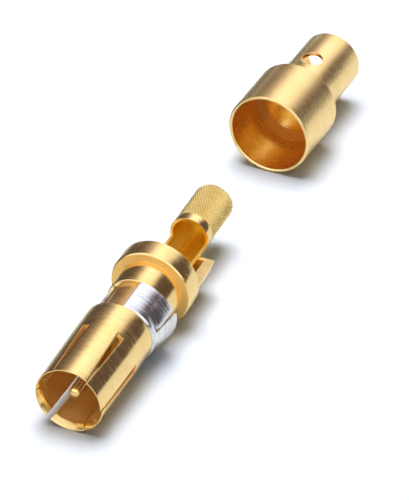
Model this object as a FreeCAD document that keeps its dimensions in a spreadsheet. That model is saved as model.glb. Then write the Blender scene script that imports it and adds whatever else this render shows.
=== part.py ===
"""Coaxial socket contact with its crimp ferrule, lying on a table.

The contact is turned along its own x axis: mouth at x = 0, cable end at +x.
It comes to rest on the rim of its mouth and on its flange. The stepped crimp
ferrule is taken off and lies behind it on its bell. Lengths are in millimetres
and angles in degrees, and angles round the axis run from +y towards +z.
"""
import FreeCAD, Part
import math
import os
import re
import Sketcher

OUT = "parts"

SIZES = [
    # slotted socket sleeve
    ("mouth_diameter", 5.9),
    ("sleeve_diameter", 6.0),
    ("sleeve_wall", 0.4),
    ("sleeve_length", 9.4),
    ("finger_length", 6.6),
    ("cavity_floor", 1.0),
    ("rim_land", 0.1),
    ("lead_in_depth", 0.55),
    ("slot_count", 6),
    ("slot_length", 6.2),
    ("slot_mouth_width", 0.16),
    ("slot_root_width", 0.62),
    ("slot_turn", -25.0),
    # clip groove, barrel and flange
    ("groove_width", 3.6),
    ("groove_diameter", 4.6),
    ("barrel_diameter", 5.4),
    ("barrel_length", 2.6),
    ("flange_diameter", 7.0),
    ("flange_width", 2.0),
    ("edge_break", 0.12),
    # rear shroud, cable window and crimp tube
    ("shroud_diameter", 6.3),
    ("shroud_length", 4.1),
    ("shroud_taper_length", 1.0),
    ("shroud_tip_diameter", 6.16),
    ("shroud_end_wall", 0.4),
    ("recess_diameter", 4.3),
    ("window_length", 5.9),
    ("window_drop", 0.4),
    ("band_diameter", 3.44),
    ("band_length", 0.9),
    ("knurl_root_diameter", 3.12),
    ("knurl_length", 4.5),
    ("trough_bore_diameter", 2.9),
    ("tube_bore_diameter", 2.56),
    # insulator and centre pin
    ("insulator_diameter", 3.7),
    ("insulator_land", 1.2),
    ("seat_clearance", 0.02),
    ("pin_diameter", 1.0),
    ("pin_recess", 0.85),
    ("pin_tip_radius", 0.45),
    ("pin_shoulder_diameter", 1.4),
    ("pin_shoulder_length", 5.2),
    ("pin_tail_diameter", 1.24),
    ("pin_tail_length", 3.6),
    ("cup_diameter", 0.86),
    ("cup_depth", 1.9),
    # retaining clip
    ("clip_end_play", 0.05),
    ("clip_diameter", 5.68),
    ("clip_thickness", 0.24),
    ("clip_bevel", 0.16),
    ("clip_gap_angle", 57.0),
    ("clip_turn", -25.0),
    ("clip_collar_length", 0.6),
    ("tine_start_angle", 195.0),
    ("tine_angle", 66.0),
    ("tine_slit_angle", 4.0),
    ("tine_flare", 0.46),
    ("cross_slit_width", 0.1),
    ("cross_slit_angle", 28.0),
    ("clip_sag", 0.04),
    ("clip_shift", 0.26),
    # crimp ferrule
    ("bell_diameter", 7.45),
    ("bell_length", 6.05),
    ("bell_bore_diameter", 6.8),
    ("bell_bore_depth", 4.7),
    ("bell_mouth_break", 0.1),
    ("bell_shoulder_break", 0.22),
    ("crimp_sleeve_diameter", 5.25),
    ("crimp_sleeve_length", 7.45),
    ("crimp_sleeve_bore_diameter", 4.6),
    ("crimp_sleeve_edge", 0.25),
    ("sight_hole_diameter", 1.9),
    ("sight_hole_offset", 2.9),
    # how the ferrule lies behind the contact
    ("ferrule_distance", 40.0),
    ("ferrule_side_step", -0.11),
    ("ferrule_yaw", -1.83),
]

doc = FreeCAD.newDocument("coaxial_socket_contact")
sheet = doc.addObject("Spreadsheet::Sheet", "sizes")
for row, (alias, value) in enumerate(SIZES, start=1):
    sheet.set(f"A{row}", alias)
    sheet.set(f"B{row}", str(value))
    sheet.setAlias(f"B{row}", alias)
doc.recompute()


def size(alias):
    """The value of one driving dimension."""
    return float(sheet.get(alias))


def bound(text):
    """An expression in which each alias is read from the sheet."""
    return re.sub(r"[a-z]\w*", lambda found: "<<sizes>>." + found.group(0), text)


def new_body(label):
    body = doc.addObject("PartDesign::Body", label)
    body.Label = label
    return body


def origin_feature(body, role):
    return next(f for f in body.Origin.OriginFeatures if f.Role == role)


def profile(body, name, corners, plane="XY_Plane", turn=None, lift=None):
    """A closed outline of straight lines whose corners are bound to the sheet.

    turn tips the sketch plane about the body's x axis; lift raises it.
    """
    sketch = body.newObject("Sketcher::SketchObject", name)
    sketch.AttachmentSupport = (origin_feature(body, plane), [""])
    sketch.MapMode = "FlatFace"
    if turn is not None:
        sketch.AttachmentOffset = FreeCAD.Placement(
            FreeCAD.Vector(), FreeCAD.Rotation(FreeCAD.Vector(1, 0, 0), 1.0)
        )
        sketch.setExpression(".AttachmentOffset.Rotation.Angle", bound(turn))
    if lift is not None:
        sketch.setExpression(".AttachmentOffset.Base.z", bound(lift))
    count = len(corners)
    spread = [
        FreeCAD.Vector(math.cos(2 * math.pi * i / count), math.sin(2 * math.pi * i / count), 0)
        for i in range(count)
    ]
    for i in range(count):
        sketch.addGeometry(Part.LineSegment(spread[i], spread[(i + 1) % count]), False)
    for i in range(count):
        sketch.addConstraint(Sketcher.Constraint("Coincident", i, 2, (i + 1) % count, 1))
    for i, (along, out) in enumerate(corners):
        for kind, axis, text in (("DistanceX", -2, along), ("DistanceY", -1, out)):
            if text == "0":
                sketch.addConstraint(Sketcher.Constraint("PointOnObject", i, 1, axis))
                continue
            index = sketch.addConstraint(Sketcher.Constraint(kind, -1, 1, i, 1, 1.0))
            sketch.renameConstraint(index, f"{kind[-1]}{i}")
            sketch.setExpression(f"Constraints.{kind[-1]}{i}", bound(text))
    return sketch


def turned(body, name, corners, kind="Revolution", angle=None, turn=None):
    """A solid of revolution about the body's x axis, or a cut of that form."""
    sketch = profile(body, name + "_profile", corners, turn=turn)
    feature = body.newObject("PartDesign::" + kind, name)
    feature.Profile = sketch
    feature.ReferenceAxis = (sketch, ["H_Axis"])
    feature.Angle = 360.0
    if angle is not None:
        feature.setExpression("Angle", bound(angle))
    return feature


def cut_up(body, name, corners, depth, turn=None, lift=None):
    """A straight cut from the sketch plane outwards, along its normal."""
    sketch = profile(body, name + "_outline", corners, turn=turn, lift=lift)
    feature = body.newObject("PartDesign::Pocket", name)
    feature.Profile = sketch
    feature.Reversed = True
    feature.setExpression("Length", bound(depth))
    return feature


# places along the contact's axis, each built on the one before
CAVITY_END = "sleeve_length - cavity_floor"
GROOVE_END = "sleeve_length + groove_width"
FLANGE_FRONT = GROOVE_END + " + barrel_length"
FLANGE_REAR = FLANGE_FRONT + " + flange_width"
SHROUD_END = FLANGE_REAR + " + shroud_length"
WINDOW_END = FLANGE_REAR + " + window_length"
KNURL_START = WINDOW_END + " + band_length"
TUBE_END = KNURL_START + " + knurl_length"
INSULATOR_END = FLANGE_REAR + " - insulator_land"


def build_contact_body():
    """The one turned piece: slotted sleeve, groove, barrel, flange, shroud and tube."""
    body = new_body("contact_body")
    turned(body, "turning", [
        ("0", "mouth_diameter / 2 - rim_land"),
        ("0", "mouth_diameter / 2"),
        ("finger_length", "sleeve_diameter / 2"),
        ("sleeve_length - edge_break", "sleeve_diameter / 2"),
        ("sleeve_length", "sleeve_diameter / 2 - edge_break"),
        ("sleeve_length", "groove_diameter / 2"),
        (GROOVE_END, "groove_diameter / 2"),
        (GROOVE_END, "barrel_diameter / 2 - edge_break / 2"),
        (GROOVE_END + " + edge_break / 2", "barrel_diameter / 2"),
        (FLANGE_FRONT, "barrel_diameter / 2"),
        (FLANGE_FRONT, "flange_diameter / 2 - edge_break"),
        (FLANGE_FRONT + " + edge_break", "flange_diameter / 2"),
        (FLANGE_REAR + " - edge_break", "flange_diameter / 2"),
        (FLANGE_REAR, "flange_diameter / 2 - edge_break"),
        (FLANGE_REAR, "shroud_diameter / 2"),
        (SHROUD_END + " - shroud_taper_length", "shroud_diameter / 2"),
        (SHROUD_END, "shroud_tip_diameter / 2"),
        (SHROUD_END, "band_diameter / 2"),
        (KNURL_START, "band_diameter / 2"),
        (KNURL_START, "knurl_root_diameter / 2"),
        (TUBE_END, "knurl_root_diameter / 2"),
        (TUBE_END, "tube_bore_diameter / 2"),
        (WINDOW_END, "tube_bore_diameter / 2"),
        (WINDOW_END, "trough_bore_diameter / 2"),
        (INSULATOR_END, "trough_bore_diameter / 2"),
        (INSULATOR_END, "insulator_diameter / 2"),
        (CAVITY_END, "insulator_diameter / 2"),
        (CAVITY_END, "sleeve_diameter / 2 - sleeve_wall"),
        ("finger_length", "sleeve_diameter / 2 - sleeve_wall"),
        ("lead_in_depth", "mouth_diameter / 2 - sleeve_wall"),
    ])
    turned(body, "recess", [
        (FLANGE_REAR, "band_diameter / 2"),
        (SHROUD_END + " - shroud_end_wall", "band_diameter / 2"),
        (SHROUD_END + " - shroud_end_wall", "recess_diameter / 2"),
        (FLANGE_REAR, "recess_diameter / 2"),
    ], kind="Groove")
    slot = cut_up(body, "slot", [
        ("-slot_mouth_width", "-slot_mouth_width / 2"),
        ("0", "-slot_mouth_width / 2"),
        ("slot_length", "-slot_root_width / 2"),
        ("slot_length", "slot_root_width / 2"),
        ("0", "slot_mouth_width / 2"),
        ("-slot_mouth_width", "slot_mouth_width / 2"),
    ], depth="sleeve_diameter", turn="slot_turn")
    slots = body.newObject("PartDesign::PolarPattern", "slots")
    slots.Originals = [slot]
    slots.Axis = (origin_feature(body, "X_Axis"), [""])
    slots.Angle = 360.0
    slots.setExpression("Occurrences", bound("slot_count"))
    body.Tip = slots
    cut_up(body, "window", [
        (FLANGE_REAR, "-flange_diameter"),
        (WINDOW_END, "-flange_diameter"),
        (WINDOW_END, "flange_diameter"),
        (FLANGE_REAR, "flange_diameter"),
    ], depth="flange_diameter", lift="-window_drop")
    return body


PIN_TAIL = CAVITY_END + " + pin_shoulder_length"
PIN_END = PIN_TAIL + " + pin_tail_length"


def build_insulator():
    """The bush between sleeve and pin, bored from the front for the pin's shoulder."""
    body = new_body("insulator")
    turned(body, "bush", [
        (CAVITY_END, "pin_shoulder_diameter / 2 + seat_clearance"),
        (CAVITY_END, "insulator_diameter / 2 - seat_clearance"),
        (INSULATOR_END, "insulator_diameter / 2 - seat_clearance"),
        (INSULATOR_END, "pin_tail_diameter / 2 + seat_clearance"),
        (PIN_TAIL, "pin_tail_diameter / 2 + seat_clearance"),
        (PIN_TAIL, "pin_shoulder_diameter / 2 + seat_clearance"),
    ])
    return body


def build_centre_pin():
    """The inner contact: round-nosed pin, shoulder and a tail with a solder cup."""
    body = new_body("centre_pin")
    blank = turned(body, "pin_blank", [
        ("pin_recess", "0"),
        ("pin_recess", "pin_diameter / 2"),
        (CAVITY_END, "pin_diameter / 2"),
        (CAVITY_END, "pin_shoulder_diameter / 2"),
        (PIN_TAIL, "pin_shoulder_diameter / 2"),
        (PIN_TAIL, "pin_tail_diameter / 2"),
        (PIN_END, "pin_tail_diameter / 2"),
        (PIN_END, "cup_diameter / 2"),
        (PIN_END + " - cup_depth", "cup_diameter / 2"),
        (PIN_END + " - cup_depth", "0"),
    ])
    doc.recompute()
    tip = size("pin_recess") + 1e-4
    nose_edges = [
        f"Edge{number}"
        for number, edge in enumerate(blank.Shape.Edges, start=1)
        if edge.BoundBox.XMax < tip and edge.BoundBox.ZLength > size("pin_diameter") / 2
    ]
    nose = body.newObject("PartDesign::Fillet", "nose")
    nose.Base = (blank, nose_edges)
    nose.setExpression("Radius", bound("pin_tip_radius"))
    return body


CLIP_FRONT = "sleeve_length + clip_end_play"
CLIP_REAR = GROOVE_END + " - clip_end_play"
CLIP_INSIDE = "clip_diameter / 2 - clip_thickness"
TINE_ROOT = CLIP_FRONT + " + clip_collar_length"
OPENING_START = "tine_start_angle - tine_slit_angle"


def build_retaining_clip():
    """A C-shaped spring band with two broad tines that flare towards the rear."""
    body = new_body("retaining_clip")
    turned(body, "clip_band", [
        (CLIP_FRONT, CLIP_INSIDE),
        (CLIP_FRONT, "clip_diameter / 2 - clip_bevel"),
        (CLIP_FRONT + " + clip_bevel", "clip_diameter / 2"),
        (CLIP_REAR, "clip_diameter / 2"),
        (CLIP_REAR, CLIP_INSIDE),
    ], angle="360 - clip_gap_angle", turn="90 + clip_gap_angle / 2")
    opening = turned(body, "tine_opening", [
        (TINE_ROOT, "groove_diameter / 2"),
        (TINE_ROOT, "flange_diameter / 2"),
        (FLANGE_FRONT, "flange_diameter / 2"),
        (FLANGE_FRONT, "groove_diameter / 2"),
    ], kind="Groove", angle="tine_angle + 2 * tine_slit_angle", turn=OPENING_START)
    tine = turned(body, "tine", [
        (TINE_ROOT, CLIP_INSIDE),
        (TINE_ROOT, "clip_diameter / 2"),
        (CLIP_REAR, "clip_diameter / 2 + tine_flare"),
        (CLIP_REAR, CLIP_INSIDE + " + tine_flare"),
    ], angle="tine_angle", turn="tine_start_angle")
    slit = turned(body, "cross_slit", [
        (TINE_ROOT, "groove_diameter / 2"),
        (TINE_ROOT, "flange_diameter / 2"),
        (TINE_ROOT + " + cross_slit_width", "flange_diameter / 2"),
        (TINE_ROOT + " + cross_slit_width", "groove_diameter / 2"),
    ], kind="Groove", angle="cross_slit_angle", turn=OPENING_START + " - cross_slit_angle")
    pair = body.newObject("PartDesign::Mirrored", "tine_pair")
    pair.Originals = [opening, tine, slit]
    pair.MirrorPlane = (origin_feature(body, "XZ_Plane"), [""])
    body.Tip = pair
    return body


FERRULE_END = "bell_length + crimp_sleeve_length"


def build_crimp_ferrule():
    """The stepped ferrule: a thin bell, a shoulder and the sleeve that is crimped."""
    body = new_body("crimp_ferrule")
    turned(body, "ferrule_turning", [
        ("0", "bell_bore_diameter / 2 + bell_mouth_break"),
        ("0", "bell_diameter / 2 - bell_mouth_break"),
        ("bell_mouth_break", "bell_diameter / 2"),
        ("bell_length - bell_shoulder_break", "bell_diameter / 2"),
        ("bell_length", "bell_diameter / 2 - bell_shoulder_break"),
        ("bell_length", "crimp_sleeve_diameter / 2"),
        (FERRULE_END + " - crimp_sleeve_edge", "crimp_sleeve_diameter / 2"),
        (FERRULE_END, "crimp_sleeve_diameter / 2 - crimp_sleeve_edge"),
        (FERRULE_END, "crimp_sleeve_bore_diameter / 2"),
        ("bell_bore_depth", "crimp_sleeve_bore_diameter / 2"),
        ("bell_bore_depth", "bell_bore_diameter / 2"),
        ("bell_mouth_break", "bell_bore_diameter / 2"),
    ])
    hole_sketch = body.newObject("Sketcher::SketchObject", "sight_hole_outline")
    hole_sketch.AttachmentSupport = (origin_feature(body, "XY_Plane"), [""])
    hole_sketch.MapMode = "FlatFace"
    hole_sketch.addGeometry(Part.Circle(FreeCAD.Vector(1, 0, 0), FreeCAD.Vector(0, 0, 1), 1.0), False)
    hole_sketch.addConstraint(Sketcher.Constraint("PointOnObject", 0, 3, -1))
    place = hole_sketch.addConstraint(Sketcher.Constraint("DistanceX", -1, 1, 0, 3, 1.0))
    hole_sketch.renameConstraint(place, "place")
    hole_sketch.setExpression("Constraints.place", bound("bell_length + sight_hole_offset"))
    across = hole_sketch.addConstraint(Sketcher.Constraint("Diameter", 0, 2.0))
    hole_sketch.renameConstraint(across, "across")
    hole_sketch.setExpression("Constraints.across", bound("sight_hole_diameter"))
    hole = body.newObject("PartDesign::Pocket", "sight_hole")
    hole.Profile = hole_sketch
    hole.Reversed = True
    hole.setExpression("Length", bound("bell_diameter"))
    return body


contact_body = build_contact_body()
insulator = build_insulator()
centre_pin = build_centre_pin()
retaining_clip = build_retaining_clip()
crimp_ferrule = build_crimp_ferrule()
doc.recompute()


def rest_on_table():
    """Lay the contact on mouth rim and flange, and the ferrule on its bell."""
    mouth = size("mouth_diameter") / 2
    flange = size("flange_diameter") / 2
    flange_corner = (
        size("sleeve_length") + size("groove_width") + size("barrel_length") + size("edge_break")
    )
    tilt = math.atan2(flange - mouth, flange_corner)
    lying = FreeCAD.Placement(
        FreeCAD.Vector(0, 0, mouth * math.cos(tilt)),
        FreeCAD.Rotation(FreeCAD.Vector(0, 1, 0), -math.degrees(tilt)),
    )
    for body in (contact_body, insulator, centre_pin):
        body.Placement = lying
    # the loose clip leans to one side of its groove and sags a little
    slipped = FreeCAD.Placement(
        FreeCAD.Vector(0, -size("clip_shift"), -size("clip_sag")),
        FreeCAD.Rotation(FreeCAD.Vector(1, 0, 0), size("clip_turn")),
    )
    retaining_clip.Placement = lying.multiply(slipped)
    crimp_ferrule.Placement = FreeCAD.Placement(
        FreeCAD.Vector(size("ferrule_distance"), size("ferrule_side_step"), size("bell_diameter") / 2),
        FreeCAD.Rotation(FreeCAD.Vector(0, 0, 1), size("ferrule_yaw")),
    )


def centre_on_origin(bodies):
    """Shift everything level, so that the origin is under the middle of the whole."""
    box = Part.makeCompound([body.Shape for body in bodies]).optimalBoundingBox()
    shift = FreeCAD.Vector(-(box.XMin + box.XMax) / 2, -(box.YMin + box.YMax) / 2, 0)
    for body in bodies:
        body.Placement = FreeCAD.Placement(shift, FreeCAD.Rotation()).multiply(body.Placement)


def check(bodies):
    for item in doc.Objects:
        if "Invalid" in item.State or "Error" in item.State:
            raise RuntimeError(f"{item.Name} failed: {item.State}")
    for body in bodies:
        if body.Shape.isNull() or not body.Shape.isValid() or len(body.Shape.Solids) != 1:
            raise RuntimeError(f"{body.Label} is not one valid solid")


bodies = [contact_body, insulator, centre_pin, retaining_clip, crimp_ferrule]
rest_on_table()
doc.recompute()
centre_on_origin(bodies)
doc.recompute()
check(bodies)

os.makedirs(OUT, exist_ok=True)
for body in bodies:
    body.Shape.exportStep(f"{OUT}/{body.Label}.step")
    box = body.Shape.optimalBoundingBox()
    print(
        f"{body.Label}: {body.Shape.Volume:.3f} mm3, x {box.XMin:.3f}..{box.XMax:.3f}, "
        f"y {box.YMin:.3f}..{box.YMax:.3f}, z {box.ZMin:.3f}..{box.ZMax:.3f}"
    )
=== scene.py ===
"""Looks of the coaxial socket contact and its crimp ferrule.

Each piece is modelled along its own x axis in millimetres and then laid where
the solids lie. Angles round an axis run from +y towards +z, in degrees.
"""
import math

import bmesh
import bpy
from mathutils import Matrix, Vector


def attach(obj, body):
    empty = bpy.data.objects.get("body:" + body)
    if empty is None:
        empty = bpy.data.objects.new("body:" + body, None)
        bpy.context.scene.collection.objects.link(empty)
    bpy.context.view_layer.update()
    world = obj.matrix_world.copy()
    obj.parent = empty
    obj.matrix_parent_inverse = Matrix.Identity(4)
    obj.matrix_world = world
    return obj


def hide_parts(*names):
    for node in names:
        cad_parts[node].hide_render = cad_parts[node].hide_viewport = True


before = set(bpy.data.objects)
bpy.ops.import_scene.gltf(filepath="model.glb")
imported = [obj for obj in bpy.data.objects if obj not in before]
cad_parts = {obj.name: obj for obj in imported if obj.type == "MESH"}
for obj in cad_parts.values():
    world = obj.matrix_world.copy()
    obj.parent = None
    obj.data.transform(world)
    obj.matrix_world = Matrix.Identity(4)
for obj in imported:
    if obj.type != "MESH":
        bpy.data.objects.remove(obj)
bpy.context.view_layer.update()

MM = 0.001
STEPS = 144

# the contact body: its places along the axis, from the mouth
LEAD_IN = 0.55
TAPER_END = 6.6
CAVITY_END = 8.4
SLEEVE_END = 9.4
GROOVE_END = 13.0
FLANGE_FRONT = 15.6
FLANGE_REAR = 17.6
POCKET_END = 21.3
SHROUD_END = 21.7
HALF_TUBE_END = 23.5
BAND_END = 24.4
TUBE_END = 28.9
# its radii
MOUTH_R = 2.95
SLEEVE_R = 3.0
SLEEVE_BORE_R = 2.6
GROOVE_R = 2.3
BUSH_R = 1.85
BARREL_R = 2.7
FLANGE_R = 3.5
SHROUD_R = 3.15
SHROUD_BORE_R = 2.3
TROUGH_R = 1.45
TUBE_R = 1.72
TUBE_CORE_R = 1.5
CRIMP_BORE_R = 1.28
# how much of its edges is broken
EDGE = 0.12

# the ferrule
BELL_END = 6.05
BELL_DEPTH = 4.7
FERRULE_END = 13.5
BELL_R = 3.725
BELL_BORE_R = 3.4
CRIMP_R = 2.625
CRIMP_INSIDE_R = 2.3

# where the solids lie: the contact tilted on its mouth's rim and its flange, the loose
# clip and the ferrule
TILT = math.atan2(FLANGE_R - MOUTH_R, FLANGE_FRONT + EDGE)
CONTACT = Matrix.Translation((-0.0267329, 0.0002047, 0.0029482)) @ Matrix.Rotation(-TILT, 4, "Y")
CLIP = (
    CONTACT
    @ Matrix.Translation((0.0, -0.00026, -0.00004))
    @ Matrix.Rotation(math.radians(-25.0), 4, "X")
)
FERRULE = Matrix.Translation((0.0132671, 0.0000947, 0.003725)) @ Matrix.Rotation(
    math.radians(-1.83), 4, "Z"
)


# ---- building blocks ----

ROUNDING_SEGMENTS = 3
ROUNDED_FROM = math.radians(22.0)
NORMAL_WEIGHT = 80


def ring_point(along, radius, angle):
    turn = math.radians(angle)
    return (along, radius * math.cos(turn), radius * math.sin(turn))


def revolve(profile, skip=(), steps=STEPS):
    """Turns a closed outline of (along, radius) points once round the axis."""
    points = []
    rings = []
    for along, radius in profile:
        if radius == 0:
            rings.append([len(points)] * steps)
            points.append((along, 0.0, 0.0))
            continue
        rings.append(list(range(len(points), len(points) + steps)))
        points += [ring_point(along, radius, 360.0 * k / steps) for k in range(steps)]
    faces = []
    for i in range(len(rings)):
        if i in skip:
            continue
        a, b = rings[i], rings[(i + 1) % len(rings)]
        for k in range(steps):
            n = (k + 1) % steps
            corners = [a[k], a[n], b[n], b[k]]
            corners = [c for j, c in enumerate(corners) if c != corners[j - 1]]
            if len(corners) > 2:
                faces.append(corners)
    return points, faces


def sweep(profile, limits, steps, skip=()):
    """Sweeps a closed outline between the two angles that limits gives for a radius."""
    points = []
    rings = []
    for along, radius in profile:
        start, end = limits(radius)
        rings.append(list(range(len(points), len(points) + steps + 1)))
        points += [
            ring_point(along, radius, start + (end - start) * k / steps) for k in range(steps + 1)
        ]
    faces = []
    for i in range(len(rings)):
        if i in skip:
            continue
        a, b = rings[i], rings[(i + 1) % len(rings)]
        faces += [[a[k], a[k + 1], b[k + 1], b[k]] for k in range(steps)]
    faces.append([ring[0] for ring in rings])
    faces.append([ring[-1] for ring in reversed(rings)])
    return points, faces


def two_skins(rows, stations, place):
    """The points of an outer and an inner skin, with their numbers by (outer, row, station)."""
    points = []
    index = {}
    for outer in (True, False):
        for row in range(rows):
            for station in range(stations):
                index[outer, row, station] = len(points)
                points.append(place(row, station, outer))
    return points, index


def only_used(points, faces):
    """Drops the points that no face uses."""
    used = sorted({corner for face in faces for corner in face})
    renumber = {old: new for new, old in enumerate(used)}
    return [points[old] for old in used], [[renumber[c] for c in face] for face in faces]


def turn_outwards(mesh):
    work = bmesh.new()
    work.from_mesh(mesh)
    bmesh.ops.recalc_face_normals(work, faces=work.faces)
    work.to_mesh(mesh)
    work.free()


def make_piece(name, parts, place, rounding=0.0):
    """One object from one or more (points, faces) sets, with rounded edges."""
    points = []
    faces = []
    for part_points, part_faces in parts:
        first = len(points)
        points += [tuple(MM * value for value in point) for point in part_points]
        faces += [[first + corner for corner in face] for face in part_faces]
    mesh = bpy.data.meshes.new(name)
    mesh.from_pydata(points, [], faces)
    mesh.validate()
    turn_outwards(mesh)
    mesh.shade_smooth()
    piece = bpy.data.objects.new(name, mesh)
    bpy.context.scene.collection.objects.link(piece)
    if rounding:
        bevel = piece.modifiers.new("rounding", "BEVEL")
        bevel.width = rounding * MM
        bevel.segments = ROUNDING_SEGMENTS
        bevel.limit_method = "ANGLE"
        bevel.angle_limit = ROUNDED_FROM
        bevel.miter_outer = "MITER_ARC"
    weighting = piece.modifiers.new("weighting", "WEIGHTED_NORMAL")
    weighting.mode = "FACE_AREA"
    weighting.weight = NORMAL_WEIGHT
    bpy.context.view_layer.update()
    seen = piece.evaluated_get(bpy.context.evaluated_depsgraph_get())
    final = bpy.data.meshes.new_from_object(seen)
    final.name = name
    piece.modifiers.clear()
    piece.data = final
    bpy.data.meshes.remove(mesh)
    final.transform(place)
    return piece


# ---- contact body ----

SLOTS = 6
SLOT_TURN = 5.0
SLOT_LENGTH = 6.2
SLOT_ROOT = 0.62
FINGER_CELLS = 20
SLOT_CELLS = 4
# the slots' widths at the mouth: the fingers are sprung shut, but for one gap
SLOT_MOUTH = (0.07, 0.06, 0.06, 0.05, 0.06, 0.46)
# how far each finger tip is sprung inwards, starting at the first slot
FINGER_SET = (0.03, 0.0, 0.18, 0.03, 0.0, 0.03)
# how fast that fades towards the root
FINGER_BEND = 1.5
# how far round each slot has moved at the mouth, in degrees
SLOT_LEAN = (0.0, 0.0, 0.0, 0.0, 0.0, 5.5)
# how far below the axis the window's cut goes
WINDOW_BELOW = 0.4
# how far the shroud and the half tube reach into the flange
OVERLAP = 0.01


def sleeve_outside(along):
    """Straight, and drawn in a little towards the mouth."""
    return MOUTH_R + (SLEEVE_R - MOUTH_R) * min(along, TAPER_END) / TAPER_END


def sleeve_inside(along):
    """The same, with a lead-in at the mouth."""
    lead_r, narrow_r = 2.85, 2.55
    if along <= LEAD_IN:
        return lead_r - (lead_r - narrow_r) * along / LEAD_IN
    share = (min(along, TAPER_END) - LEAD_IN) / (TAPER_END - LEAD_IN)
    return narrow_r + (SLEEVE_BORE_R - narrow_r) * share


def slotted_sleeve():
    """The six fingers and the ring that they spring from, as one skin open at the back."""
    rows = [
        0.0, 0.275, LEAD_IN, 1.1, 1.7, 2.3, 2.9, 3.5, 4.1, 4.7, 5.3, 5.8, SLOT_LENGTH,
        TAPER_END, 7.5, CAVITY_END,
    ]
    root = rows.index(SLOT_LENGTH)
    per_finger = FINGER_CELLS + SLOT_CELLS
    stations = SLOTS * per_finger

    def half_slot(slot, along, radius):
        mouth = SLOT_MOUTH[slot % SLOTS]
        width = mouth + (SLOT_ROOT - mouth) * min(along, SLOT_LENGTH) / SLOT_LENGTH
        return math.degrees(math.asin(width / 2 / radius))

    def place(row, station, outer):
        along = rows[row]
        finger, step = divmod(station, per_finger)
        fade = max(0.0, 1 - along / SLOT_LENGTH)
        radius = sleeve_outside(along) if outer else sleeve_inside(along)
        radius -= FINGER_SET[finger] * fade ** FINGER_BEND
        centres = [
            SLOT_TURN + slot * 360.0 / SLOTS + SLOT_LEAN[slot % SLOTS] * fade
            for slot in (finger, finger + 1)
        ]
        start = centres[0] + half_slot(finger, along, radius)
        last = half_slot(finger + 1, along, radius)
        end = centres[1] - last
        if step <= FINGER_CELLS:
            angle = start + (end - start) * step / FINGER_CELLS
        else:
            angle = end + 2 * last * (step - FINGER_CELLS) / SLOT_CELLS
        return ring_point(along, radius, angle)

    points, index = two_skins(len(rows), stations, place)
    faces = []
    for station in range(stations):
        beside = (station + 1) % stations
        step = station % per_finger
        solid = step < FINGER_CELLS
        front = 0 if solid else root
        for row in range(front, len(rows) - 1):
            for outer in (True, False):
                faces.append([
                    index[outer, row, station], index[outer, row, beside],
                    index[outer, row + 1, beside], index[outer, row + 1, station],
                ])
        faces.append([
            index[True, front, station], index[True, front, beside],
            index[False, front, beside], index[False, front, station],
        ])
        if step in (0, FINGER_CELLS):
            for row in range(root):
                faces.append([
                    index[True, row, station], index[True, row + 1, station],
                    index[False, row + 1, station], index[False, row, station],
                ])
    return only_used(points, faces)


def below_window(radius):
    """The angles that the window's cut leaves standing."""
    edge = math.degrees(math.asin(WINDOW_BELOW / radius))
    return 180.0 + edge, 360.0 - edge


middle = revolve([
    (CAVITY_END, SLEEVE_BORE_R), (CAVITY_END, SLEEVE_R), (SLEEVE_END - EDGE, SLEEVE_R),
    (SLEEVE_END, SLEEVE_R - EDGE), (SLEEVE_END, GROOVE_R), (GROOVE_END, GROOVE_R),
    (GROOVE_END, 2.64), (13.06, BARREL_R), (FLANGE_FRONT, BARREL_R),
    (FLANGE_FRONT, FLANGE_R - EDGE), (FLANGE_FRONT + EDGE, FLANGE_R),
    (FLANGE_REAR - EDGE, FLANGE_R), (FLANGE_REAR, FLANGE_R - EDGE),
    (FLANGE_REAR, TROUGH_R), (16.4, TROUGH_R), (16.4, BUSH_R), (CAVITY_END, BUSH_R),
], skip=(0,))
shroud = sweep([
    (FLANGE_REAR - OVERLAP, SHROUD_BORE_R), (FLANGE_REAR - OVERLAP, SHROUD_R),
    (20.7, SHROUD_R), (SHROUD_END, 3.08), (SHROUD_END, 1.70), (POCKET_END, 1.70),
    (POCKET_END, SHROUD_BORE_R),
], below_window, steps=72)
half_tube = sweep([
    (FLANGE_REAR - OVERLAP, TROUGH_R), (FLANGE_REAR - OVERLAP, TUBE_R),
    (HALF_TUBE_END, TUBE_R), (HALF_TUBE_END, TROUGH_R),
], below_window, steps=64, skip=(2,))
tube = revolve([
    (26.4, CRIMP_BORE_R), (25.9, 1.30), (25.3, 1.36), (24.7, 1.42), (24.1, 1.445),
    (HALF_TUBE_END, TROUGH_R), (HALF_TUBE_END, TUBE_R), (BAND_END - 0.04, TUBE_R),
    (BAND_END, TUBE_R - 0.04), (BAND_END, TUBE_CORE_R), (TUBE_END - 0.02, TUBE_CORE_R),
    (TUBE_END - 0.02, CRIMP_BORE_R),
])

contact_look = make_piece(
    "contact_look", [slotted_sleeve(), middle, shroud, half_tube, tube], CONTACT, rounding=0.035
)


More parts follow.
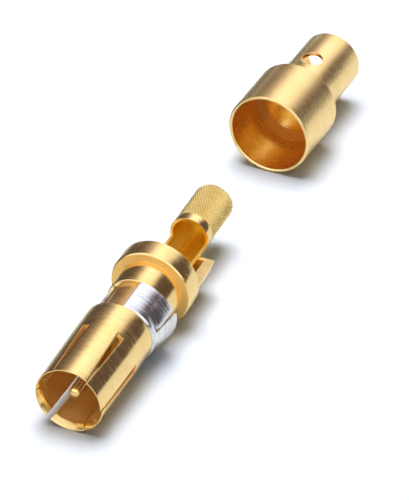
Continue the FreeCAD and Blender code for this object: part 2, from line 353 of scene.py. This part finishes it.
def knurl():
    """Crossed grooves cut round the crimp tube, leaving flat-topped diamonds."""
    around, pitch = 40, 0.40
    floor_r, crest_r = 1.56, TUBE_R
    flat = 0.36  # the share of a diamond that its top takes
    end_length, end_drop = 0.32, 0.26  # how the tube's end is rounded
    step = 360.0 / around
    points = []
    faces = []

    def shaped(along, angle, radius):
        along = min(max(along, BAND_END), TUBE_END)
        ease = max(0.0, (along - (TUBE_END - end_length)) / end_length)
        radius -= end_drop * (1 - math.sqrt(max(0.0, 1 - ease ** 2))) * (radius / crest_r)
        points.append(ring_point(along, radius, angle))
        return len(points) - 1

    def diamond(along, angle, share, radius):
        half, turn = pitch / 2 * share, step / 2 * share
        return [
            shaped(along - half, angle, radius), shaped(along, angle + turn, radius),
            shaped(along + half, angle, radius), shaped(along, angle - turn, radius),
        ]

    for row in range(int((TUBE_END - BAND_END) / (pitch / 2)) + 3):
        along = BAND_END + row * pitch / 2
        if along - pitch / 2 >= TUBE_END:
            continue
        shift = 0.5 * (row % 2)
        for k in range(around):
            angle = (k + shift) * step
            rim = diamond(along, angle, 1.0, floor_r)
            top = diamond(along, angle, flat, crest_r)
            faces.append(top)
            for i in range(4):
                j = (i + 1) % 4
                faces.append([rim[i], rim[j], top[j], top[i]])
    return points, faces


knurl_look = make_piece("knurl_look", [knurl()], CONTACT)


# ---- centre pin ----

def centre_pin():
    """The round-nosed pin, its shoulder and its tail with the solder cup."""
    tip, tip_r, nose_r, nose_steps = 0.85, 0.05, 0.45, 12
    nose = [(tip, 0.0)]
    for k in range(nose_steps + 1):
        turn = math.radians(90.0 * k / nose_steps)
        nose.append((tip + nose_r * (1 - math.cos(turn)), tip_r + nose_r * math.sin(turn)))
    pin_r, shoulder_r, tail_r, cup_r = 0.5, 0.7, 0.62, 0.43
    shoulder_end, tail_end, cup_floor = 13.6, 17.2, 15.3
    return revolve(nose + [
        (CAVITY_END, pin_r), (CAVITY_END, shoulder_r), (shoulder_end, shoulder_r),
        (shoulder_end, tail_r), (tail_end, tail_r), (tail_end, cup_r),
        (cup_floor, cup_r), (cup_floor, 0.0),
    ], steps=64)


pin_look = make_piece("pin_look", [centre_pin()], CONTACT, rounding=0.02)


# ---- retaining clip ----

def clip_shell():
    """The C-shaped band with its two flared tines and the slits round them."""
    outer_r, thickness, front_drop, flare = 2.84, 0.24, 0.16, 0.46
    # along the axis: the tines and the long slits run from the root to the rear
    front, root, slit_end, rear = 9.45, 10.05, 10.15, 12.95
    # round the axis, on one side: the band's end, the raised strip, a slit, the tine and
    # another slit
    band_start = 118.5
    strip_start, strip_end, tine_start, tine_end, slit_after = 163.0, 191.0, 195.0, 261.0, 265.0
    # how the strip rises towards the tine
    lift, lift_start, lift_length = 0.24, 158.0, 0.6
    # how wide a cell may be, and how near a station has to be to lie at an angle
    cell_width, near = 2.5, 0.1

    def mirrored(angle):
        return 540.0 - angle

    marks = set()
    for angle in (band_start, strip_start, strip_end, tine_start, tine_end, slit_after):
        marks |= {angle, mirrored(angle)}
    marks = sorted(marks)
    angles = []
    for low, high in zip(marks, marks[1:]):
        cells = max(1, round((high - low) / cell_width))
        angles += [low + (high - low) * k / cells for k in range(cells)]
    angles.append(marks[-1])
    rows = [front, 9.61, root, slit_end, 10.7, 11.3, 11.9, 12.45, rear]

    def folded(angle):
        return mirrored(angle) if angle > 270.0 else angle

    def solid(cell, row):
        angle = folded((angles[cell] + angles[cell + 1]) / 2)
        if strip_start < angle < strip_end:
            return rows[row] != root
        slit = strip_end < angle < tine_start or tine_end < angle < slit_after
        return rows[row] < root or not slit

    def place(row, station, outer):
        along = rows[row]
        angle = folded(angles[station])
        radius = outer_r if outer else outer_r - thickness
        if outer and row == 0:
            radius -= front_drop
        if along > root and tine_start - near < angle < tine_end + near:
            radius += flare * (along - root) / (rear - root)
        elif along > root and lift_start < angle < strip_end + near:
            share = (angle - lift_start) / (strip_end - lift_start)
            radius += lift * share * min(1.0, (along - root) / lift_length)
        return ring_point(along, radius, angles[station])

    points, index = two_skins(len(rows), len(angles), place)
    cells = len(angles) - 1
    bands = len(rows) - 1
    filled = {(c, r) for c in range(cells) for r in range(bands) if solid(c, r)}
    faces = []
    for c, r in sorted(filled):
        for outer in (True, False):
            faces.append([
                index[outer, r, c], index[outer, r, c + 1],
                index[outer, r + 1, c + 1], index[outer, r + 1, c],
            ])
        edges = (
            ((c, r - 1), (r, c), (r, c + 1)),
            ((c, r + 1), (r + 1, c), (r + 1, c + 1)),
            ((c - 1, r), (r, c), (r + 1, c)),
            ((c + 1, r), (r, c + 1), (r + 1, c + 1)),
        )
        for neighbour, first, second in edges:
            if neighbour not in filled:
                faces.append([
                    index[(True,) + first], index[(True,) + second],
                    index[(False,) + second], index[(False,) + first],
                ])
    return only_used(points, faces)


clip_look = make_piece("clip_look", [clip_shell()], CLIP, rounding=0.03)


# ---- crimp ferrule ----

def ferrule():
    """The stepped ferrule with a round sight hole through the top of its sleeve.

    The walls are turned whole, with close rings beside the hole. A patch is then taken
    out of both, and new rings run from the patch's rim to the hole.
    """
    hole_at, hole_r = 8.95, 0.95
    patch_start, patch_end, bands = 7.5, 10.4, 14
    first_angle, last_angle = 60.0, 120.0
    hole_rings = 5
    ladder = [patch_start + (patch_end - patch_start) * k / bands for k in range(bands + 1)]
    profile = [
        (0.0, 3.5), (0.0, 3.625), (0.1, BELL_R), (5.83, BELL_R), (BELL_END, 3.505),
        (BELL_END, CRIMP_R),
    ]
    outer_first = len(profile)
    profile += [(along, CRIMP_R) for along in ladder]
    profile += [(13.25, CRIMP_R), (FERRULE_END, CRIMP_R - 0.25), (FERRULE_END, CRIMP_INSIDE_R)]
    inner_first = len(profile)
    profile += [(along, CRIMP_INSIDE_R) for along in reversed(ladder)]
    profile += [(BELL_DEPTH, CRIMP_INSIDE_R), (BELL_DEPTH, BELL_BORE_R), (0.1, BELL_BORE_R)]
    points, faces = revolve(profile)
    per_step = 360.0 / STEPS
    first, last = round(first_angle / per_step), round(last_angle / per_step)

    def in_patch(face):
        rows = {corner // STEPS for corner in face}
        on_one_wall = any(
            rows <= set(range(start, start + bands + 1)) for start in (outer_first, inner_first)
        )
        return on_one_wall and all(first <= corner % STEPS <= last for corner in face)

    faces = [face for face in faces if not in_patch(face)]
    loops = []
    turns = None
    for ring_start, radius, flip in (
        (outer_first, CRIMP_R, False), (inner_first, CRIMP_INSIDE_R, True)
    ):
        def vertex(band, column):
            row = ring_start + (bands - band if flip else band)
            return row * STEPS + column

        rim = [vertex(0, c) for c in range(first, last)]
        rim += [vertex(b, last) for b in range(bands)]
        rim += [vertex(bands, c) for c in range(last, first, -1)]
        rim += [vertex(b, first) for b in range(bands, 0, -1)]
        where = []
        for corner in rim:
            along, y, z = points[corner]
            where.append((math.degrees(math.atan2(z, y)), along))
        if turns is None:
            turns = [
                math.atan2(along - hole_at, -math.radians(angle - 90.0) * radius)
                for angle, along in where
            ]
        previous = rim
        for ring in range(1, hole_rings + 1):
            share = ring / hole_rings
            current = []
            for (angle, along), turn in zip(where, turns):
                hole_angle = 90.0 - math.degrees(math.asin(hole_r * math.cos(turn) / radius))
                hole_along = hole_at + hole_r * math.sin(turn)
                current.append(len(points))
                points.append(ring_point(
                    along + (hole_along - along) * share, radius,
                    angle + (hole_angle - angle) * share,
                ))
            for i in range(len(rim)):
                j = (i + 1) % len(rim)
                faces.append([previous[i], previous[j], current[j], current[i]])
            previous = current
        loops.append(previous)
    outer_loop, inner_loop = loops
    for i in range(len(outer_loop)):
        j = (i + 1) % len(outer_loop)
        faces.append([outer_loop[i], outer_loop[j], inner_loop[j], inner_loop[i]])
    return points, faces


ferrule_look = make_piece("ferrule_look", [ferrule()], FERRULE, rounding=0.035)


# ---- materials ----

# how the noise is stretched for marks that run round the axis, or along it
RINGS = (1.0, 0.04, 0.04)
ROLLING_MARKS = (1.0, 0.06, 0.06)
SHORT_MARKS = (1.0, 0.16, 0.16)
STREAKS = (0.05, 1.0, 1.0)


def rgb(red, green, blue):
    return (red, green, blue, 1.0)


def grey(value):
    return rgb(value, value, value)


def empty_tree(tree, output):
    """Clears a node tree but for a new output."""
    tree.nodes.clear()
    return tree.nodes, tree.links, tree.nodes.new(output)


def new_material(name):
    material = bpy.data.materials.new(name)
    material.use_nodes = True
    nodes, links, output = empty_tree(material.node_tree, "ShaderNodeOutputMaterial")
    shader = nodes.new("ShaderNodeBsdfPrincipled")
    links.new(shader.outputs["BSDF"], output.inputs["Surface"])
    return material, nodes, links, shader


def new_metal(name, axis):
    """A metal, with the coordinates that its marks follow."""
    material, nodes, links, shader = new_material(name)
    shader.inputs["Metallic"].default_value = 1.0
    return material, nodes, links, shader, own_coordinates(nodes, links, axis)


def own_coordinates(nodes, links, axis):
    """Positions measured from the piece's own axis, which is x."""
    source = nodes.new("ShaderNodeTexCoord")
    local = nodes.new("ShaderNodeMapping")
    local.vector_type = "TEXTURE"
    local.inputs["Location"].default_value = axis.to_translation()
    local.inputs["Rotation"].default_value = axis.to_euler("XYZ")
    links.new(source.outputs["Object"], local.inputs["Vector"])
    return local.outputs["Vector"]


def noise(nodes, links, vector, per_metre, detail, roughness=0.5):
    cloud = nodes.new("ShaderNodeTexNoise")
    cloud.inputs["Scale"].default_value = per_metre
    cloud.inputs["Detail"].default_value = detail
    cloud.inputs["Roughness"].default_value = roughness
    links.new(vector, cloud.inputs["Vector"])
    return cloud.outputs["Fac"]


def stretched_noise(nodes, links, place, stretch, per_metre, detail, roughness):
    mapping = nodes.new("ShaderNodeMapping")
    mapping.inputs["Scale"].default_value = stretch
    links.new(place, mapping.inputs["Vector"])
    return noise(nodes, links, mapping.outputs["Vector"], per_metre, detail, roughness)


def ramp(nodes, links, value, stops):
    band = nodes.new("ShaderNodeValToRGB")
    links.new(value, band.inputs["Fac"])
    elements = band.color_ramp.elements
    while len(elements) < len(stops):
        elements.new(0.5)
    for element, (position, colour) in zip(elements, stops):
        element.position = position
        element.color = colour
    return band.outputs["Color"]


def mixed(nodes, kind="MIX"):
    """A mix of two colours, with its factor and its two colours as sockets."""
    mix = nodes.new("ShaderNodeMix")
    mix.data_type = "RGBA"
    mix.blend_type = kind
    return mix.inputs["Factor"], mix.inputs[6], mix.inputs[7], mix.outputs[2]


def short_marks(nodes, links, place, per_metre):
    """Short marks that run round the axis."""
    return stretched_noise(nodes, links, place, SHORT_MARKS, per_metre, 3.0, 0.7)


def darkened(nodes, links, tone, marks, shade):
    """Darkens a tone in the marks."""
    factor, first, second, result = mixed(nodes, "MULTIPLY")
    factor.default_value = 1.0
    links.new(tone, first)
    links.new(ramp(nodes, links, marks, [(0.38, grey(shade)), (0.52, grey(1.0))]), second)
    return result


def set_finish(nodes, links, shader, tone, rough, height, depth):
    """Sets the colour, the roughness and the relief, whose depth is in metres."""
    links.new(tone, shader.inputs["Base Color"])
    links.new(rough, shader.inputs["Roughness"])
    bump = nodes.new("ShaderNodeBump")
    bump.inputs["Strength"].default_value = 1.0
    bump.inputs["Distance"].default_value = depth
    links.new(height, bump.inputs["Height"])
    links.new(bump.outputs["Normal"], shader.inputs["Normal"])


def set_marked_metal(nodes, links, shader, tone, marks, shade, rough, relief, depth):
    """A metal that is darker and smoother in its marks; rough is (in them, elsewhere)."""
    smooth, dull = rough
    set_finish(
        nodes, links, shader, darkened(nodes, links, tone, marks, shade),
        ramp(nodes, links, marks, [(0.42, grey(smooth)), (0.64, grey(dull))]), relief, depth,
    )


def gold(name, axis, low, high, per_metre, rough, depth, shade=0.94):
    """Gold plating over turned metal, whose tone wanders between low and high."""
    material, nodes, links, shader, place = new_metal(name, axis)
    cloud = noise(nodes, links, place, 420.0, 3.0)
    tone = ramp(nodes, links, cloud, [(0.3, low), (0.7, high)])
    marks = short_marks(nodes, links, place, per_metre)
    rings = stretched_noise(nodes, links, place, RINGS, per_metre, 4.0, 0.6)
    set_marked_metal(nodes, links, shader, tone, marks, shade, rough, rings, depth)
    return material


def broached(name, axis):
    """Gold plating over the trough that the cable window opens, with streaks along it; its deep
    orange tones are painted reflection and painted shade of the walls round the trough.
    """
    material, nodes, links, shader, place = new_metal(name, axis)
    streaks = stretched_noise(nodes, links, place, STREAKS, 1700.0, 2.0, 0.5)
    tone = ramp(nodes, links, streaks, [
        (0.36, rgb(0.96, 0.54, 0.02)), (0.48, rgb(1.0, 0.64, 0.03)),
        (0.56, rgb(0.97, 0.57, 0.025)), (0.64, rgb(1.0, 0.74, 0.10)),
    ])
    rough = ramp(nodes, links, streaks, [(0.3, grey(0.46)), (0.7, grey(0.58))])
    set_finish(nodes, links, shader, tone, rough, streaks, 5e-5)
    return material


def tinned(name, axis):
    """Tin plated strip, with the marks of its rolling round it."""
    material, nodes, links, shader, place = new_metal(name, axis)
    cloud = noise(nodes, links, place, 900.0, 4.0)
    tone = ramp(nodes, links, cloud, [
        (0.3, rgb(0.73, 0.77, 0.82)), (0.7, rgb(0.83, 0.86, 0.90)),
    ])
    marks = short_marks(nodes, links, place, 5500.0)
    rolling = stretched_noise(nodes, links, place, ROLLING_MARKS, 4500.0, 5.0, 0.7)
    set_marked_metal(nodes, links, shader, tone, marks, 0.78, (0.12, 0.28), rolling, 1.5e-5)
    return material


def white_insulation(name, axis):
    material, nodes, links, shader = new_material(name)
    cloud = noise(nodes, links, own_coordinates(nodes, links, axis), 1500.0, 3.0)
    tone = ramp(nodes, links, cloud, [
        (0.3, rgb(0.80, 0.79, 0.75)), (0.7, rgb(0.86, 0.85, 0.82)),
    ])
    rough = ramp(nodes, links, cloud, [(0.3, grey(0.42)), (0.7, grey(0.55))])
    shader.inputs["Subsurface Weight"].default_value = 0.15
    shader.inputs["Subsurface Radius"].default_value = (0.0005, 0.0005, 0.0005)
    set_finish(nodes, links, shader, tone, rough, cloud, 3e-6)
    return material


PALE = rgb(0.98, 0.75, 0.34)
DEEP = rgb(0.94, 0.69, 0.28)

gold_turned = gold(
    "gold_turned", CONTACT, DEEP, PALE,
    per_metre=5500.0, rough=(0.12, 0.26), depth=4e-6, shade=0.88,
)
gold_satin = gold(
    "gold_satin", FERRULE, rgb(0.94, 0.70, 0.30), rgb(0.98, 0.76, 0.36),
    per_metre=8000.0, rough=(0.27, 0.33), depth=4e-7, shade=0.96,
)
gold_bright = gold(
    "gold_bright", CONTACT, DEEP, PALE, per_metre=9000.0, rough=(0.10, 0.16), depth=6e-7
)
gold_knurl = gold(
    "gold_knurl", CONTACT, rgb(1.0, 0.75, 0.27), rgb(1.0, 0.81, 0.33),
    per_metre=5000.0, rough=(0.27, 0.29), depth=4e-7, shade=1.0,
)
# inside the contact's bores and the ferrule's the gold is a deeper, darker orange than outside:
# painted shade and painted reflection of the gold walls in each other
contact_bore = gold(
    "gold_bore_painted_reflection", CONTACT, rgb(0.99, 0.64, 0.22), rgb(1.0, 0.70, 0.27),
    per_metre=6000.0, rough=(0.46, 0.60), depth=1e-6,
)
ferrule_bore_painted_reflection = gold(
    "ferrule_bore_painted_reflection", FERRULE, rgb(0.94, 0.60, 0.16), rgb(1.0, 0.67, 0.20),
    per_metre=6000.0, rough=(0.27, 0.32), depth=6e-7, shade=0.98,
)
# the groove under the clip is given a darker, browner gold: painted shade of the clip and the
# groove's walls
groove = gold(
    "gold_groove_painted_shade", CONTACT, rgb(0.74, 0.46, 0.18), rgb(0.80, 0.52, 0.22),
    per_metre=6000.0, rough=(0.36, 0.48), depth=1e-6,
)
# the flange's front face is given a deeper orange than the outside gold: painted reflection of the
# gold round it
flange_face = gold(
    "gold_face_painted_reflection", CONTACT, rgb(1.0, 0.66, 0.22), rgb(1.0, 0.72, 0.28),
    per_metre=6000.0, rough=(0.58, 0.68), depth=1e-6,
)
# the pocket inside the shroud is given a strong orange: painted light reflected round inside the
# pocket
pocket = gold(
    "gold_pocket_painted_light", CONTACT, rgb(1.0, 0.66, 0.12), rgb(1.0, 0.71, 0.16),
    per_metre=6000.0, rough=(0.62, 0.72), depth=1e-6,
)
# the ledge at the foot of the bell's bore is painted nearly black-brown: painted shade in the
# corner of the bore
ferrule_step_painted_shade = gold(
    "ferrule_step_painted_shade", FERRULE, rgb(0.36, 0.14, 0.03), rgb(0.42, 0.18, 0.05),
    per_metre=6000.0, rough=(0.36, 0.46), depth=8e-7,
)
trough = broached("gold_trough_painted_reflection", CONTACT)
tin = tinned("tinned_strip", CLIP)
insulation = white_insulation("white_insulation", CONTACT)


def dress(piece, *materials):
    piece.data.materials.clear()
    for material in materials:
        piece.data.materials.append(material)


def dress_by_face(piece, axis, materials, finish):
    """Gives each face the material that finish names for it.

    finish is asked with the face's place along the axis, its distance from the axis,
    and how far its normal points along the axis and away from it.
    """
    dress(piece, *materials)
    back = axis.inverted()
    turn = back.to_3x3()
    for face in piece.data.polygons:
        centre = (back @ face.center) / MM
        normal = turn @ face.normal
        radius = math.hypot(centre.y, centre.z)
        away = (normal.y * centre.y + normal.z * centre.z) / max(radius, 0.001)
        face.material_index = materials.index(finish(centre.x, radius, normal.x, away))


# the bores, the groove, the flange's front face, the pocket and the trough get the materials that
# carry painted shade and painted reflection
def contact_finish(along, radius, forward, away):
    faces_mouth = forward < -0.5
    if along < CAVITY_END:
        return contact_bore if along > LEAD_IN + 0.05 and away < 0.3 else gold_turned
    if SLEEVE_END + 0.02 < along < GROOVE_END - 0.02 and radius < SLEEVE_BORE_R:
        return groove
    if abs(along - FLANGE_FRONT) < 0.1:
        return flange_face if faces_mouth and radius < FLANGE_R - 0.08 else gold_turned
    if FLANGE_REAR < along < POCKET_END + 0.05 and TROUGH_R + 0.05 < radius < SHROUD_BORE_R + 0.05:
        return pocket
    if along > FLANGE_REAR and (away < -0.3 or (faces_mouth and abs(along - POCKET_END) < 0.1)):
        return trough
    return contact_bore if away < -0.3 else gold_turned


# the ledge and the bore get the materials that carry painted shade and painted reflection
def ferrule_finish(along, radius, forward, away):
    if abs(along - BELL_DEPTH) < 0.1 and radius < BELL_BORE_R + 0.02:
        return ferrule_step_painted_shade
    return ferrule_bore_painted_reflection if along > 0.12 and away < -0.3 else gold_satin


dress_by_face(
    contact_look, CONTACT,
    (gold_turned, contact_bore, trough, groove, flange_face, pocket), contact_finish,
)
dress(knurl_look, gold_knurl)
dress(pin_look, gold_bright)
dress(clip_look, tin)
dress_by_face(ferrule_look, FERRULE, (gold_satin, ferrule_bore_painted_reflection, ferrule_step_painted_shade), ferrule_finish)
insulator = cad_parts["insulator"]
for slot in insulator.material_slots:
    slot.material = insulation

for piece, slot in (
    (contact_look, "gold_body"), (knurl_look, "gold_body"), (pin_look, "gold_pin"),
    (clip_look, "tinned_clip"), (ferrule_look, "gold_ferrule"),
):
    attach(piece, "root")
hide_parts("contact_body")
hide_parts("centre_pin")
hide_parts("retaining_clip")
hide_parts("crimp_ferrule")


# ---- floor and world ----

# the floor's colour for the camera, and how light it is in the metal, near and far; its darkening
# far away in the metal is painted shade
FLOOR_SEEN = rgb(0.86, 0.91, 1.0)
FLOOR_IN_METAL = 0.74
FAR_FLOOR_IN_METAL = 0.12
FLOOR_R = 0.16

# the softbox's strength over y, from one side of the object to the other
SOFTBOX = [
    (-1.0, 0.0), (-0.62, 0.0), (-0.52, 0.02), (-0.46, 0.12), (-0.40, 0.55), (-0.34, 0.85),
    (-0.25, 1.08), (-0.10, 1.26), (0.05, 1.34), (0.16, 1.32), (0.23, 1.12), (0.29, 0.86),
    (0.35, 0.60), (0.41, 0.38), (0.50, 0.17), (0.60, 0.06), (0.70, 0.0), (1.0, 0.0),
]
SOFTBOX_SCALE = 1.5
# how strong the two other lights are, and the studio round them
OVERHEAD = 0.95
FRONT = 1.3
DIM_STUDIO = 0.12
DIM_TINT = rgb(1.0, 0.76, 0.78)
LIT_TINT = rgb(1.0, 0.97, 1.0)


def map_range(nodes, links, value, start, end, low=0.0, high=1.0, kind="SMOOTHSTEP"):
    """Goes from low at start to high at end."""
    slope = nodes.new("ShaderNodeMapRange")
    slope.interpolation_type = kind
    slope.inputs["From Min"].default_value = start
    slope.inputs["From Max"].default_value = end
    slope.inputs["To Min"].default_value = low
    slope.inputs["To Max"].default_value = high
    links.new(value, slope.inputs["Value"])
    return slope.outputs["Result"]


def combined(nodes, links, operation, *values):
    """Multiplies or adds the values, or takes the largest of them."""
    result = values[0]
    for value in values[1:]:
        step = nodes.new("ShaderNodeMath")
        step.operation = operation
        links.new(result, step.inputs[0])
        if isinstance(value, float):
            step.inputs[1].default_value = value
        else:
            links.new(value, step.inputs[1])
        result = step.outputs[0]
    return result


def split_coordinates(nodes, links, kind):
    source = nodes.new("ShaderNodeTexCoord")
    split = nodes.new("ShaderNodeSeparateXYZ")
    links.new(source.outputs[kind], split.inputs[0])
    return split.outputs["X"], split.outputs["Y"], split.outputs["Z"]


def floor_material():
    """A white floor that keeps its shadow; in the metal its colour darkens towards +y, away from
    the light, as painted shade.
    """
    material = bpy.data.materials.new("white_floor")
    material.use_nodes = True
    nodes, links, output = empty_tree(material.node_tree, "ShaderNodeOutputMaterial")
    diffuse = nodes.new("ShaderNodeBsdfDiffuse")
    path = nodes.new("ShaderNodeLightPath")
    y = split_coordinates(nodes, links, "Object")[1]
    factor, in_metal, seen, colour = mixed(nodes)
    links.new(path.outputs["Is Camera Ray"], factor)
    links.new(
        map_range(nodes, links, y, 0.002, 0.024, FLOOR_IN_METAL, FAR_FLOOR_IN_METAL), in_metal
    )
    seen.default_value = FLOOR_SEEN
    links.new(colour, diffuse.inputs["Color"])
    links.new(diffuse.outputs[0], output.inputs["Surface"])
    return material


def softbox_profile(nodes, links, y):
    """The strengths in SOFTBOX, divided by SOFTBOX_SCALE."""
    band = nodes.new("ShaderNodeFloatCurve")
    curve = band.mapping.curves[0]
    for _ in range(len(SOFTBOX) - len(curve.points)):
        curve.points.new(0.5, 0.5)
    for point, (place, value) in zip(curve.points, SOFTBOX):
        point.location = (0.5 + place / 2, value / SOFTBOX_SCALE)
        point.handle_type = "VECTOR"
    band.mapping.update()
    links.new(map_range(nodes, links, y, -1.0, 1.0, kind="LINEAR"), band.inputs["Value"])
    return band.outputs["Value"]


def studio_world():
    """White for the camera; the metal sees a dim studio with three soft lights in it."""
    world = bpy.data.worlds.new("studio")
    # the metal mirrors the world; the lamps light the floor
    world.cycles_visibility.diffuse = False
    world.use_nodes = True
    nodes, links, output = empty_tree(world.node_tree, "ShaderNodeOutputWorld")
    backdrop = nodes.new("ShaderNodeBackground")
    backdrop.inputs["Color"].default_value = (1, 1, 1, 1)
    studio = nodes.new("ShaderNodeBackground")
    choose = nodes.new("ShaderNodeMixShader")
    path = nodes.new("ShaderNodeLightPath")
    x, y, z = split_coordinates(nodes, links, "Generated")

    def fade(value, start, end):
        return map_range(nodes, links, value, start, end)

    # a long softbox beyond the cable end, a light overhead and one in front of the mouth
    softbox = combined(
        nodes, links, "MULTIPLY",
        softbox_profile(nodes, links, y), fade(z, 0.12, 0.42), fade(x, 0.0, 0.3), SOFTBOX_SCALE,
    )
    overhead = combined(nodes, links, "MULTIPLY", fade(z, 0.66, 0.85), OVERHEAD)
    front = combined(
        nodes, links, "MULTIPLY", fade(x, -0.1, -0.5), fade(z, 0.0, 0.2), FRONT
    )
    lit = combined(nodes, links, "MAXIMUM", softbox, overhead, front)
    links.new(combined(nodes, links, "ADD", lit, DIM_STUDIO), studio.inputs["Strength"])
    factor, dim, bright, tint = mixed(nodes)
    links.new(lit, factor)
    dim.default_value = DIM_TINT
    bright.default_value = LIT_TINT
    links.new(tint, studio.inputs["Color"])

    # the white backdrop, which the metal shows too, where it stands low behind the object
    in_metal = combined(
        nodes, links, "MAXIMUM", path.outputs["Is Glossy Ray"], path.outputs["Is Transmission Ray"]
    )
    low_behind = combined(
        nodes, links, "MULTIPLY", in_metal, fade(z, 0.14, 0.06), fade(x, 0.75, 0.83)
    )
    white = combined(nodes, links, "MAXIMUM", path.outputs["Is Camera Ray"], low_behind)
    links.new(white, choose.inputs["Fac"])
    links.new(studio.outputs[0], choose.inputs[1])
    links.new(backdrop.outputs[0], choose.inputs[2])
    links.new(choose.outputs[0], output.inputs["Surface"])
    return world


bpy.ops.mesh.primitive_circle_add(
    vertices=96, radius=FLOOR_R, fill_type="NGON", location=(0, 0, 0)
)
floor = bpy.context.object
floor.name = "floor"
floor.data.materials.append(floor_material())
bpy.context.scene.world = studio_world()


# ---- lamps ----

LAMP_DISTANCE = 0.45


def soft_lamp(name, turn, rise, width, depth, watts):
    """A lamp of width x depth metres that looks at the middle from these two angles."""
    turn, rise = math.radians(turn), math.radians(rise)
    position = LAMP_DISTANCE * Vector((
        math.cos(rise) * math.cos(turn), math.cos(rise) * math.sin(turn), math.sin(rise)
    ))
    data = bpy.data.lights.new(name, "AREA")
    data.shape = "RECTANGLE"
    data.size = width
    data.size_y = depth
    data.energy = watts
    lamp = bpy.data.objects.new(name, data)
    bpy.context.scene.collection.objects.link(lamp)
    lamp.location = position
    lamp.rotation_euler = (-position).to_track_quat("-Z", "Y").to_euler()
    lamp.visible_glossy = False


soft_lamp("main", 45.0, 79.0, 0.32, 0.32, 2.75)
soft_lamp("before", 197.0, 40.0, 0.36, 0.26, 0.14)
soft_lamp("beside", 315.0, 60.0, 0.24, 0.24, 0.10)


# ---- camera ----

# the camera that fits the rims in the photo
CAMERA_AT = (-0.2753857, -0.1194624, 0.2093207)
CAMERA_RIGHT = Vector((0.398632, -0.917111, 0.0))
CAMERA_VIEW = Vector((0.752655, 0.327151, -0.571386))
FOCAL_PIXELS = 4397.12
PHOTO_HEIGHT = 500.0
SENSOR = 36.0

camera_data = bpy.data.cameras.new("camera")
camera_data.sensor_fit = "VERTICAL"
camera_data.sensor_height = SENSOR
camera_data.lens = FOCAL_PIXELS * SENSOR / PHOTO_HEIGHT
camera_data.clip_start = 0.01
camera_data.clip_end = 20.0
camera = bpy.data.objects.new("camera", camera_data)
bpy.context.scene.collection.objects.link(camera)
camera_axes = (CAMERA_RIGHT, CAMERA_RIGHT.cross(CAMERA_VIEW), -CAMERA_VIEW)
camera.matrix_world = (
    Matrix.Translation(CAMERA_AT) @ Matrix(camera_axes).transposed().to_4x4()
)
bpy.context.scene.camera = camera

bpy.context.scene.view_settings.view_transform = "Standard"
